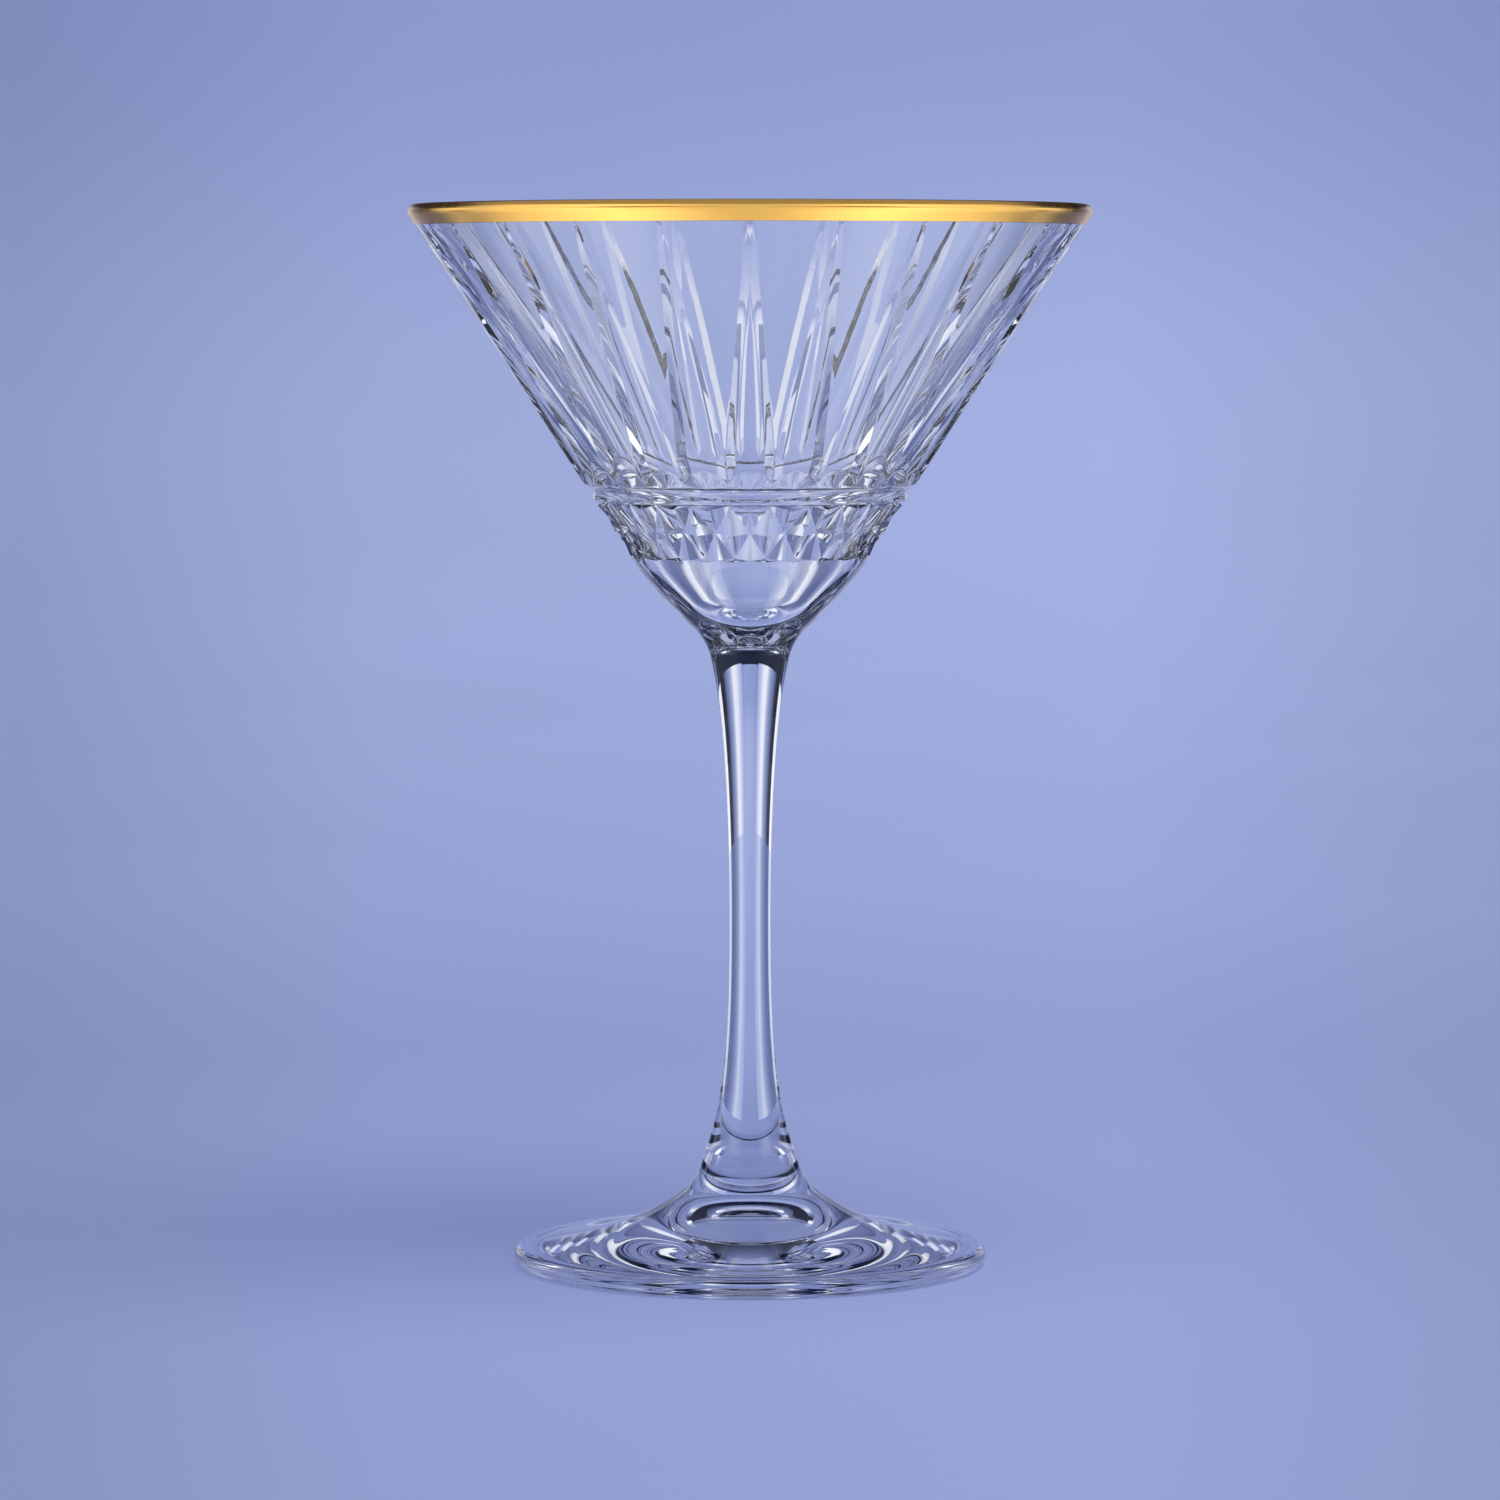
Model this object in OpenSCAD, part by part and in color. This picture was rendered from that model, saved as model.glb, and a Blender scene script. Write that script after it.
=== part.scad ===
// Martini glass: a pressed bowl with a cut pattern and a gilded lip, on a drawn stem and a pressed foot.
// Millimetres, +Z up. The origin is on the table, at the centre of the foot.

/* [Overall] */
// Height from the table to the top of the lip
glass_h = 172; // [140:1:210]
// Widest diameter, round the outside of the lip
rim_d = 110.3; // [90:0.1:135]
// Diameter of the foot
foot_d = 76.8; // [60:0.1:95]

/* [Bowl] */
// Height of the bowl, from its weld on the neck to the top of the lip
bowl_h = 68.3; // [56:0.1:82]
// Diameter of the weld under the bowl
bowl_weld_d = 18.2; // [15:0.1:22]
// Diameter of the wall where the cone starts, above the solid bottom
shoulder_d = 37.6; // [32:0.1:46]
// Height of that shoulder above the weld
shoulder_h = 10.8; // [8:0.1:14]
// Radius that rounds the lip, which is half its thickness
lip_r = 1.2; // [0.8:0.05:1.6]
// Radius of the rounded floor inside the bowl
floor_r = 9; // [7:0.1:12]
// Thickness of solid glass under that floor
floor_t = 3.8; // [3:0.1:6]

/* [Cut pattern] */
// Number of long cuts round the bowl
cuts = 24; // [16:2:32]
// Depth of a long cut
cut_depth = 0.55; // [0.3:0.05:0.8]
// Slope of a long cut's sides, from the wall's surface
cut_side_angle = 20; // [14:1:35]
// Width of a long cut at its upper end
cut_top_w = 0.9; // [0.5:0.1:1.5]
// Gap between two long cuts at their lower ends
cut_gap = 0.1; // [0.05:0.05:1]
// Distance from the gilding down to the cuts' upper ends
cut_top_gap = 0.2; // [0.1:0.1:2]
// Height over which a long cut runs out at its lower end
run_out_h = 2.1; // [1.2:0.1:3]
// Plain land between the shoulder and the diamonds
shoulder_land = 0.6; // [0.3:0.1:2]
// Height of the diamond band, up to the middle of the thin groove
diamond_h = 8.8; // [7:0.1:12]
// Depth of the mitre cuts that leave the diamonds standing
mitre_depth = 0.85; // [0.3:0.05:1]
// Width of the round groove that runs below the long cuts, along the wall
ring_groove_w = 2.6; // [1.6:0.1:3.2]
// Depth of that groove
ring_groove_depth = 0.65; // [0.3:0.05:0.8]
// Width of the thin groove above the diamonds
thin_groove_w = 0.8; // [0.5:0.1:1.2]
// Depth of the thin groove
thin_groove_depth = 0.35; // [0.15:0.05:0.5]
// Width of the bead left between the two grooves
bead_w = 0.7; // [0.4:0.1:1.2]

/* [Gilding] */
// Height of the gold band on the outside of the lip
gilding_h = 3.3; // [2:0.1:6]
// Height of the gold on the inside of the lip
gilding_inside_h = 1.3; // [1.2:0.1:3]
// Thickness that stands for the fired gold film
gilding_t = 0.12; // [0.08:0.01:0.2]

/* [Neck and stem] */
// Height of the welded neck between the stem and the bowl
neck_h = 4; // [3:0.1:6]
// Diameter of the weld between the stem and the neck
neck_weld_d = 13.2; // [11:0.1:16]
// Diameter of the stem at its waist
waist_d = 6.7; // [5.5:0.1:9]
// Height of the waist above the collar
waist_h = 42; // [30:1:55]
// Diameter of the weld between the stem and the collar
collar_weld_d = 17.2; // [14:0.1:19]
// Height of the collar between the stem and the foot
collar_h = 2.5; // [1.5:0.1:4]

/* [Foot] */
// Height of the foot, from the table to its weld under the collar
foot_h = 12.5; // [10:0.1:15]
// Diameter of the weld between the collar and the foot
foot_weld_d = 20.1; // [19.5:0.1:24]
// Thickness of the foot's edge
edge_t = 3.2; // [2.4:0.1:4.5]
// Diameter of the ring on which the glass stands
rest_d = 71.6; // [50:0.1:72.5]
// Height of the hollow under the foot, just inside that ring
hollow_h = 0.5; // [0.3:0.1:0.8]
// Diameter of the dome pressed up into the middle of the foot
dome_d = 23; // [18:0.5:34]
// Height of that dome above the hollow
dome_h = 6; // [4:0.1:7]

/* [Hidden] */
glass_colour = [0.86, 0.9, 0.97, 0.45];
gold_colour = [0.83, 0.62, 0.22];
curve_steps = 14;
arc_steps = 10;

// Heights where one piece is welded to the next
foot_top = foot_h;
collar_top = foot_top + collar_h;
bowl_bottom = glass_h - bowl_h;
stem_top = bowl_bottom - neck_h;

// The lip is a full round whose centre is this point; the outer wall runs from it down to the shoulder
lip_c = [rim_d / 2 - lip_r, glass_h - lip_r];
shoulder = [shoulder_d / 2, bowl_bottom + shoulder_h];

// The outer wall is tangent to the lip's round, and leans out by this angle from the vertical
wall_reach = norm(lip_c - shoulder);
wall_lean = atan2(lip_c[0] - shoulder[0], lip_c[1] - shoulder[1]) + asin(lip_r / wall_reach);
function wall_radius(z) = shoulder[0] + (z - shoulder[1]) * tan(wall_lean);

// The inner wall is tangent to the lip's round and to the round floor
floor_c = [0, bowl_bottom + floor_t + floor_r];
cup_reach = norm(lip_c - floor_c);
cup_lean = atan2(lip_c[0], lip_c[1] - floor_c[1]) - asin((lip_r + floor_r) / cup_reach);

// Heights on the outer wall: the gilding's lower edge, the long cuts' ends, the grooves and the diamonds
rise = cos(wall_lean);
gilding_bottom = glass_h - gilding_h;
diamond_bottom = shoulder[1] + shoulder_land;
diamond_top = diamond_bottom + diamond_h;
thin_groove_z = diamond_top;
bead_z = thin_groove_z + (thin_groove_w / 2 + bead_w) * rise;
ring_groove_z = bead_z + ring_groove_w / 2 * rise;
cut_end = ring_groove_z + ring_groove_w / 4 * rise;
cut_start = gilding_bottom - cut_top_gap;

// The gold lies in a shallow step round the lip, flush with the glass; these are its two edges
bare_lip_r = lip_r - gilding_t;
gold_out_edge = [wall_radius(gilding_bottom), gilding_bottom];
gold_out_step = [gilding_t / cos(wall_lean), 0];
gold_in_z = glass_h - gilding_inside_h;
gold_in_edge = [lip_c[0] - lip_r / cos(cup_lean) - (lip_c[1] - gold_in_z) * tan(cup_lean), gold_in_z];
gold_in_step = [gilding_t / cos(cup_lean), 0];

// Handles that shape the round flank under the bowl, the neck, the stem's two flares and the foot
flank_low_handle = [2.6, 2.2];
flank_top_handle = 3.2;
neck_low_handle = [0.4, 1.2];
neck_top_handle = [1.2, 1.2];
stem_low_handle = [-4.4, 10.5];
stem_top_handle = [2.6, 9.5];
waist_low_share = 0.5;
waist_top_share = 0.3;
foot_edge_handle = [13, -1.2];
foot_weld_handle = [5.5, -4.4];
edge_shoulder = 0.6;
hollow_step = 2;
dome_top_share = 0.3;
dome_edge_share = 0.06;
dome_rise_share = 0.45;

// Points of a circle's arc, and of a cubic curve with its two handles
function arc(c, r, from, to, steps = arc_steps) =
    [for (i = [0:steps]) let (a = from + (to - from) * i / steps) c + r * [cos(a), sin(a)]];
function curve(p, p_handle, q_handle, q, steps = curve_steps) =
    [for (i = [0:steps]) let (t = i / steps, u = 1 - t)
        u * u * u * p + 3 * u * u * t * p_handle + 3 * u * t * t * q_handle + t * t * t * q];

module turned(points) {
    rotate_extrude($fn = 96) polygon(points);
}

// One long cut: the space above a flat floor and two sloping sides, in the frame of the wall's surface.
// X runs round the bowl, Y down the wall and Z out of it, from the middle of the cut's upper end.
cut_length = (cut_start - cut_end) / rise;
cut_bottom_w = 2 * wall_radius(cut_end + run_out_h) * sin(180 / cuts) - cut_gap;
cut_taper = atan((cut_bottom_w - cut_top_w) / 2 / cut_length);
module cut_side_block(side) {
    block = 2 * cut_length;
    translate([side * cut_top_w / 2, 0, 0])
        rotate([0, 0, -side * cut_taper])
            rotate([0, -side * cut_side_angle, 0])
                translate([side > 0 ? -block : 0, -block / 2, 0])
                    cube([block, block, block]);
}
module long_cut() {
    reach = 3;
    above = 2;
    intersection() {
        translate([-cut_bottom_w, 0, -cut_depth])
            cube([2 * cut_bottom_w, cut_length + reach, above]);
        cut_side_block(-1);
        cut_side_block(1);
    }
}

// Glass that the long cuts leave standing at their lower ends, so that they run out to the wall's surface
module run_out() {
    deep = 2 * cut_depth;
    high = cut_end + 2 * run_out_h;
    turned([
        [0, bowl_bottom],
        [rim_d, bowl_bottom],
        [rim_d, cut_end],
        [wall_radius(cut_end), cut_end],
        [wall_radius(high) - deep / rise, high],
        [0, high]
    ]);
}

// Places its child on the wall at one height and one angle round the bowl
module on_wall(z, angle) {
    rotate([0, 0, angle])
        translate([0, -wall_radius(z), z])
            rotate([90 + wall_lean, 0, 0])
                mirror([0, 1, 0])
                    children();
}

// Two mitre cuts cross at each long cut's foot: each is a shallow V that leans to one side.
// Neighbouring cuts meet along the diamonds' ridges, so each diamond is a low pyramid.
diamond_mid = (diamond_top + diamond_bottom) / 2;
half_rise = diamond_h / 2 / rise;
half_pitch = wall_radius(diamond_mid) * tan(180 / cuts);
mitre_lean = atan(half_pitch / half_rise);
mitre_slope = mitre_depth / (half_pitch * cos(mitre_lean));
module mitre(side) {
    half_w = 2 * half_pitch;
    rotate([0, 0, side * mitre_lean])
        translate([0, 0, -mitre_depth])
            rotate([90, 0, 0])
                linear_extrude(height = 4 * half_rise, center = true)
                    polygon([[0, 0], [half_w, half_w * mitre_slope], [-half_w, half_w * mitre_slope]]);
}
module mitre_cuts() {
    intersection() {
        for (i = [0:cuts - 1], side = [-1, 1])
            on_wall(diamond_mid, 360 * i / cuts) mitre(side);
        turned([
            [0, diamond_bottom],
            [rim_d, diamond_bottom],
            [rim_d, diamond_top],
            [0, diamond_top]
        ]);
    }
}

// A round groove turned into the wall, of a width along the wall and a depth square to it
module wall_groove(z, width, depth) {
    r = (width * width / 4 + depth * depth) / 2 / depth;
    out = r - depth;
    rotate_extrude($fn = 96)
        translate([wall_radius(z) + out * cos(wall_lean), z - out * sin(wall_lean)])
            circle(r = r, $fn = 32);
}

module bowl() {
    color(glass_colour)
        difference() {
            turned(concat(
                [[0, bowl_bottom]],
                curve([bowl_weld_d / 2, bowl_bottom], [bowl_weld_d / 2, bowl_bottom] + flank_low_handle,
                    shoulder - flank_top_handle * [sin(wall_lean), cos(wall_lean)], shoulder),
                [gold_out_edge, gold_out_edge - gold_out_step],
                arc(lip_c, bare_lip_r, -wall_lean, 180 - cup_lean),
                [gold_in_edge + gold_in_step, gold_in_edge],
                arc(floor_c, floor_r, -cup_lean, -90)
            ));
            difference() {
                for (i = [0:cuts - 1])
                    on_wall(cut_start, 360 * i / cuts) long_cut();
                run_out();
            }
            mitre_cuts();
            wall_groove(ring_groove_z, ring_groove_w, ring_groove_depth);
            wall_groove(thin_groove_z, thin_groove_w, thin_groove_depth);
        }
}

// Fired gold, over the outside of the lip, its round and a narrow band inside
module rim_gilding() {
    color(gold_colour)
        turned(concat(
            [gold_out_edge - gold_out_step, gold_out_edge],
            arc(lip_c, lip_r, -wall_lean, 180 - cup_lean),
            [gold_in_edge, gold_in_edge + gold_in_step],
            arc(lip_c, bare_lip_r, 180 - cup_lean, -wall_lean)
        ));
}

// The neck flares from the stem to the bowl in a hollow curve
module neck() {
    low = [neck_weld_d / 2, stem_top];
    high = [bowl_weld_d / 2, bowl_bottom];
    color(glass_colour)
        turned(concat(
            [[0, stem_top]],
            curve(low, low + neck_low_handle, high - neck_top_handle, high),
            [[0, bowl_bottom]]
        ));
}

// The stem flares in two smooth curves from its waist to its welds
module stem() {
    low = [collar_weld_d / 2, collar_top];
    waist = [waist_d / 2, collar_top + waist_h];
    high = [neck_weld_d / 2, stem_top];
    color(glass_colour)
        turned(concat(
            [[0, collar_top]],
            curve(low, low + stem_low_handle, waist - [0, waist_low_share * waist_h], waist),
            curve(waist, waist + [0, waist_top_share * (high[1] - waist[1])], high - stem_top_handle, high),
            [[0, stem_top]]
        ));
}

module collar() {
    color(glass_colour)
        turned([
            [0, foot_top],
            [foot_weld_d / 2, foot_top],
            [collar_weld_d / 2, collar_top],
            [0, collar_top]
        ]);
}

// The foot: a disc that rises to its weld, with a round edge, a standing ring, a hollow and a dome under it
module foot() {
    edge_r = edge_t / 2;
    edge_c = [foot_d / 2 - edge_r, edge_r];
    edge_top = edge_c + [0, edge_r];
    weld = [foot_weld_d / 2, foot_top];
    rest = [rest_d / 2, 0];
    hollow = [rest_d / 2 - hollow_step, hollow_h];
    dome_edge = [dome_d / 2, hollow_h];
    dome_top = [0, hollow_h + dome_h];
    color(glass_colour)
        turned(concat(
            curve(dome_top, dome_top + [dome_top_share * dome_d, 0],
                dome_edge + [-dome_edge_share * dome_d, dome_rise_share * dome_h], dome_edge),
            [hollow, rest],
            arc(edge_c, edge_r, -90, 90),
            curve(edge_top - [edge_shoulder, 0], edge_top - foot_edge_handle, weld + foot_weld_handle, weld),
            [[0, foot_top]]
        ));
}

bowl();
rim_gilding();
neck();
stem();
collar();
foot();
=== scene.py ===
"""Martini glass with a gilded lip: its looks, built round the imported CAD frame. Metres, +Z up."""

import math

import bmesh
import bpy
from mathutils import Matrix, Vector


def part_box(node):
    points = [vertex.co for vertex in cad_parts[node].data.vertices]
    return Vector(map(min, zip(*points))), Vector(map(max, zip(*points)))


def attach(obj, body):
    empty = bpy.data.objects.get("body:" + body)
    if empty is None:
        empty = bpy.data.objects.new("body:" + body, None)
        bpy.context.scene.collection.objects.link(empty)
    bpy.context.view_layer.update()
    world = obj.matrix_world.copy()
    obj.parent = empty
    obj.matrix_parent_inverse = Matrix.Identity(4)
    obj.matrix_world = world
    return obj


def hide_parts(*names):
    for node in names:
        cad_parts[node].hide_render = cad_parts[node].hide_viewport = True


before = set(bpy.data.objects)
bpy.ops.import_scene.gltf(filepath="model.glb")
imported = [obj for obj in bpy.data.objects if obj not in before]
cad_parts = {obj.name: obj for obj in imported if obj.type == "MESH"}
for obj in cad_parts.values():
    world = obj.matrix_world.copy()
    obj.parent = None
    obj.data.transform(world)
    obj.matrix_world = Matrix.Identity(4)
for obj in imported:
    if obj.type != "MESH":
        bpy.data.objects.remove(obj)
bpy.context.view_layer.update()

MM = 0.001


def box_mm(node):
    """A CAD node's outermost radius, lowest height and highest height, in millimetres."""
    low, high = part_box(node)
    return min(high.x, high.y, -low.x, -low.y) / MM, low.z / MM, high.z / MM


# ---------------------------------------------------------------- sizes from the frame, in millimetres
RIM_R, GILDING_BOTTOM, GLASS_H = box_mm("rim_gilding")
BOWL_BOTTOM = box_mm("bowl")[1]
BOWL_WELD_R, STEM_TOP, _ = box_mm("neck")
COLLAR_WELD_R, COLLAR_TOP, _ = box_mm("stem")
FOOT_WELD_R, FOOT_TOP, _ = box_mm("collar")
FOOT_R = box_mm("foot")[0]

# ---------------------------------------------------------------- sizes of the form, in millimetres
LIP_R = 1.2
SHOULDER_R, SHOULDER_UP = 18.8, 10.8
FLOOR_R, FLOOR_T = 9.0, 3.8
GILDING_INSIDE_H, GILDING_T, FILM_GAP = 1.3, 0.12, 0.02
NECK_WELD_R = 6.6
WAIST_R, WAIST_UP = 3.35, 42.0
EDGE_T, REST_R, HOLLOW_H, HOLLOW_STEP = 3.2, 35.8, 0.5, 2.0
DOME_R, DOME_H = 11.5, 6.0
DOME_TOP_SHARE, DOME_EDGE_SHARE, DOME_RISE_SHARE = 0.6, 0.12, 0.45

CUTS = 24
CUT_DEPTH, CUT_SIDE_W = 0.55, 1.4
CUT_TOP_HALF_W, CUT_SPREAD, CUT_CURVE = 0.45, 0.112, 0.00055
CUT_START_GAP = 0.25
CUT_TOP_SLOPE, CUT_STEEP_BY = 0.5, 16.0
LAND_MIN = 0.14
CREASE = 0.05
ARCH_LOW, ARCH_RISE, ARCH_POWER = 127.25, 2.1, 0.65
RING_GROOVE_Z, RING_GROOVE_W, RING_GROOVE_DEPTH = 125.91, 2.6, 0.65
RUN_IN_DEPTH = 0.28
BEAD_LOW, GROOVE_FLOOR_Z, GROOVE_FLOOR_DEPTH = 124.2, 123.82, 0.7
DIAMOND_APEX_Z, DIAMOND_MID_Z, DIAMOND_FOOT_Z, LAND_TOP_Z = 123.5, 119.3, 115.35, 115.1
MITRE_DEPTH = 0.85

SECTOR_COLS = 18
HALF_COLS = SECTOR_COLS // 2
HALF_SECTOR = math.pi / CUTS
ROUND = 288

# ---------------------------------------------------------------- the bowl's wall
lip_c = Vector((RIM_R - LIP_R, GLASS_H - LIP_R))
shoulder = Vector((SHOULDER_R, BOWL_BOTTOM + SHOULDER_UP))
wall_lean = math.atan2(lip_c.x - shoulder.x, lip_c.y - shoulder.y) + math.asin(
    LIP_R / (lip_c - shoulder).length
)
RISE = math.cos(wall_lean)
floor_c = Vector((0.0, BOWL_BOTTOM + FLOOR_T + FLOOR_R))
cup_lean = math.atan2(lip_c.x, lip_c.y - floor_c.y) - math.asin(
    (LIP_R + FLOOR_R) / (lip_c - floor_c).length
)


def wall_r(z):
    return SHOULDER_R + (z - shoulder.y) * math.tan(wall_lean)


def cup_r(z):
    return lip_c.x - LIP_R / math.cos(cup_lean) - (lip_c.y - z) * math.tan(cup_lean)


def arc(c, r, start, end, steps):
    """Points of a circle's arc as (radius, height); angles in radians."""
    angles = [start + (end - start) * i / steps for i in range(steps + 1)]
    return [(c[0] + r * math.cos(a), c[1] + r * math.sin(a)) for a in angles]


def curve(p, p_handle, q_handle, q, steps):
    """Points of a cubic curve with handles given as offsets from its ends."""
    p, q = Vector(p), Vector(q)
    a, b = p + Vector(p_handle), q + Vector(q_handle)
    points = []
    for i in range(steps + 1):
        t = i / steps
        u = 1 - t
        v = u * u * u * p + 3 * u * u * t * a + 3 * u * t * t * b + t * t * t * q
        points.append((v.x, v.y))
    return points


def rounded(points, corners, steps=4):
    """The same outline with each corner in {index: radius} replaced by a small arc."""
    out = []
    for i, p in enumerate(points):
        if i not in corners:
            out.append(p)
            continue
        v, a, b = Vector(p), Vector(points[i - 1]), Vector(points[(i + 1) % len(points)])
        reach = min(corners[i], 0.45 * (a - v).length, 0.45 * (b - v).length)
        start, end = v + (a - v).normalized() * reach, v + (b - v).normalized() * reach
        for k in range(steps + 1):
            t = k / steps
            w = (1 - t) ** 2 * start + 2 * t * (1 - t) * v + t * t * end
            out.append((w.x, w.y))
    return out


# ---------------------------------------------------------------- meshes
class Shell:
    """Collects rings of points in millimetres and joins them into one closed mesh."""

    def __init__(self):
        self.verts, self.faces, self.slots, self.creases = [], [], [], []

    def vert(self, p):
        self.verts.append(p)
        return len(self.verts) - 1

    def ring(self, points):
        return [self.vert(p) for p in points]

    def round_ring(self, r, z, count=ROUND):
        turn = 2 * math.pi / count
        return self.ring([around(r, z, turn * i) for i in range(count)])

    def face(self, *ids, slot=0):
        self.faces.append(ids)
        self.slots.append(slot)

    def strip(self, a, b, slot=0):
        n = len(a)
        for i in range(n):
            j = (i + 1) % n
            self.face(a[i], a[j], b[j], b[i], slot=slot)

    def fan(self, ring, centre, slot=0):
        n = len(ring)
        for i in range(n):
            self.face(ring[i], ring[(i + 1) % n], centre, slot=slot)

    def zip(self, a, b, slot=0):
        """Joins two rings with different counts of points, both of which start at the same angle."""

        def angles(ring):
            first = [(math.atan2(self.verts[i][0], -self.verts[i][1]) + 1e-6) % math.tau for i in ring]
            return first + [math.tau + 1e-6]

        ang_a, ang_b = angles(a), angles(b)
        i = j = 0
        while i < len(a) or j < len(b):
            if j >= len(b) or (i < len(a) and ang_a[i + 1] <= ang_b[j + 1]):
                self.face(a[i], a[(i + 1) % len(a)], b[j % len(b)], slot=slot)
                i += 1
            else:
                self.face(a[i % len(a)], b[(j + 1) % len(b)], b[j], slot=slot)
                j += 1

    def build(self, name, materials, sharp=math.radians(40), bevel=0.0):
        mesh = bpy.data.meshes.new(name)
        mesh.from_pydata([tuple(c * MM for c in v) for v in self.verts], [], self.faces)
        mesh.polygons.foreach_set("material_index", self.slots)
        for m in materials:
            mesh.materials.append(m)
        bm = bmesh.new()
        bm.from_mesh(mesh)
        bmesh.ops.recalc_face_normals(bm, faces=bm.faces)
        bm.verts.ensure_lookup_table()
        if self.creases:
            weight = bm.edges.layers.float.new("bevel_weight_edge")
            for a, b in self.creases:
                edge = bm.edges.get((bm.verts[a], bm.verts[b]))
                if edge:
                    edge[weight] = 1.0
        for f in bm.faces:
            f.smooth = True
        bm.to_mesh(mesh)
        bm.free()
        obj = bpy.data.objects.new(name, mesh)
        bpy.context.scene.collection.objects.link(obj)
        if self.creases:
            mod = obj.modifiers.new("edges", "BEVEL")
            mod.limit_method = "WEIGHT"
            mod.width = bevel * MM
            mod.segments = 2
            mod.use_clamp_overlap = True
            settle(obj)
        bm = bmesh.new()
        bm.from_mesh(obj.data)
        for e in bm.edges:
            e.smooth = not (len(e.link_faces) == 2 and e.calc_face_angle(0.0) > sharp)
            if len(e.link_faces) == 2 and e.link_faces[0].material_index != e.link_faces[1].material_index:
                e.smooth = False
        bm.to_mesh(obj.data)
        bm.free()
        mod = obj.modifiers.new("shading", "WEIGHTED_NORMAL")
        mod.keep_sharp = True
        mod.weight = 80
        settle(obj)
        return obj


def settle(obj):
    """Makes an object's modifiers part of its mesh."""
    bpy.context.view_layer.update()
    graph = bpy.context.evaluated_depsgraph_get()
    mesh = bpy.data.meshes.new_from_object(
        obj.evaluated_get(graph), preserve_all_data_layers=True, depsgraph=graph
    )
    old = obj.data
    obj.modifiers.clear()
    obj.data = mesh
    bpy.data.meshes.remove(old)
    mesh.name = obj.name


def around(r, z, angle):
    """A point at a radius, a height and an angle round the axis; angle 0 is towards -Y."""
    return (r * math.sin(angle), -r * math.cos(angle), z)


def turned(name, profile, materials, slots=None, count=ROUND, closed=False):
    """A closed body of revolution from an outline of (radius, height) points."""
    s = Shell()
    rings = []
    for r, z in profile:
        rings.append(s.vert((0.0, 0.0, z)) if r < 1e-9 else s.round_ring(r, z, count))
    pairs = list(zip(range(len(rings) - 1), range(1, len(rings))))
    if closed:
        pairs.append((len(rings) - 1, 0))
    for n, (i, j) in enumerate(pairs):
        slot = slots.get(n, 0) if slots else 0
        a, b = rings[i], rings[j]
        if isinstance(a, int):
            s.fan(b, a, slot)
        elif isinstance(b, int):
            s.fan(a, b, slot)
        else:
            s.strip(a, b, slot)
    return s.build(name, materials)


# ---------------------------------------------------------------- the cut pattern on the wall
def fall(x, z):
    """How far the round wall falls away from a flat face that touches it, at a distance x to the side."""
    return x * x * RISE / 2 / wall_r(z)


def cut_half_w(z):
    """Half the width of a long cut at a height, from its upper end to where the cuts meet."""
    t = GILDING_BOTTOM - CUT_START_GAP - z
    if t <= 0:
        return CUT_TOP_HALF_W
    room = wall_r(z) * HALF_SECTOR - LAND_MIN
    return min(CUT_TOP_HALF_W + CUT_SPREAD * t - CUT_CURVE * t * t, room)


def cut_depth_at(x, z):
    """Depth below the round wall at a distance x from the middle of a long cut."""
    if z > GILDING_BOTTOM - CUT_START_GAP:
        return 0.0
    half = cut_half_w(z)
    if x >= half:
        return 0.0
    edge = fall(half, z)
    down = min((GILDING_BOTTOM - z) / CUT_STEEP_BY, 1.0)
    slope = CUT_DEPTH / CUT_SIDE_W * blend(CUT_TOP_SLOPE, 1.0, down)
    side = edge + (half - x) * slope
    return max(min(side, CUT_DEPTH + edge) - fall(x, z), 0.0)


def cut_columns(z):
    """Distances from the middle of a cut to each of its columns of points, up to the next cut's border."""
    border = wall_r(z) * HALF_SECTOR
    half = cut_half_w(z)
    floor = max(half - CUT_SIDE_W, 1.6 * CREASE)
    out = half + CREASE
    side_in, side_out = floor + CREASE, half - CREASE
    land = border - out
    return [
        0.0,
        floor - CREASE,
        side_in,
        (side_in + side_out) / 2,
        side_out,
        out,
        out + land * 0.25,
        out + land * 0.5,
        out + land * 0.75,
        border,
    ]


def wall_point(x, z, depth, cut):
    """A point below the wall's surface by a depth square to it, at a side distance x from a cut's middle."""
    r = wall_r(z)
    angle = 2 * HALF_SECTOR * cut + x / r
    return around(r - depth * math.cos(wall_lean), z + depth * math.sin(wall_lean), angle)


def mirrored_ring(shell, half_points):
    """A ring from one half of a cut's points, (x, z, depth) from its middle to its border."""
    points = []
    for cut in range(CUTS):
        for j in range(HALF_COLS):
            x, z, d = half_points[j]
            points.append(wall_point(x, z, d, cut))
        for j in range(HALF_COLS, 0, -1):
            x, z, d = half_points[j]
            points.append(wall_point(-x, z, d, cut + 1))
    return shell.ring(points)


def arch_z(x):
    """Height of the arch where a long cut runs out, at a distance x from the cut's middle."""
    share = min(x / (wall_r(ARCH_LOW) * HALF_SECTOR), 1.0)
    return ARCH_LOW + ARCH_RISE * (1 - share * share) ** ARCH_POWER


def cut_row(height_at):
    """One row of points whose height may change across the cut."""
    row = []
    for j in range(HALF_COLS + 1):
        z = height_at(0.0)
        for _ in range(12):
            x = cut_columns(z)[j]
            z = height_at(x)
        row.append((x, z, cut_depth_at(x, z)))
    return row


def even_x(z, j):
    return wall_r(z) * HALF_SECTOR * j / HALF_COLS


def blend(a, b, t):
    return a + (b - a) * t


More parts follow.
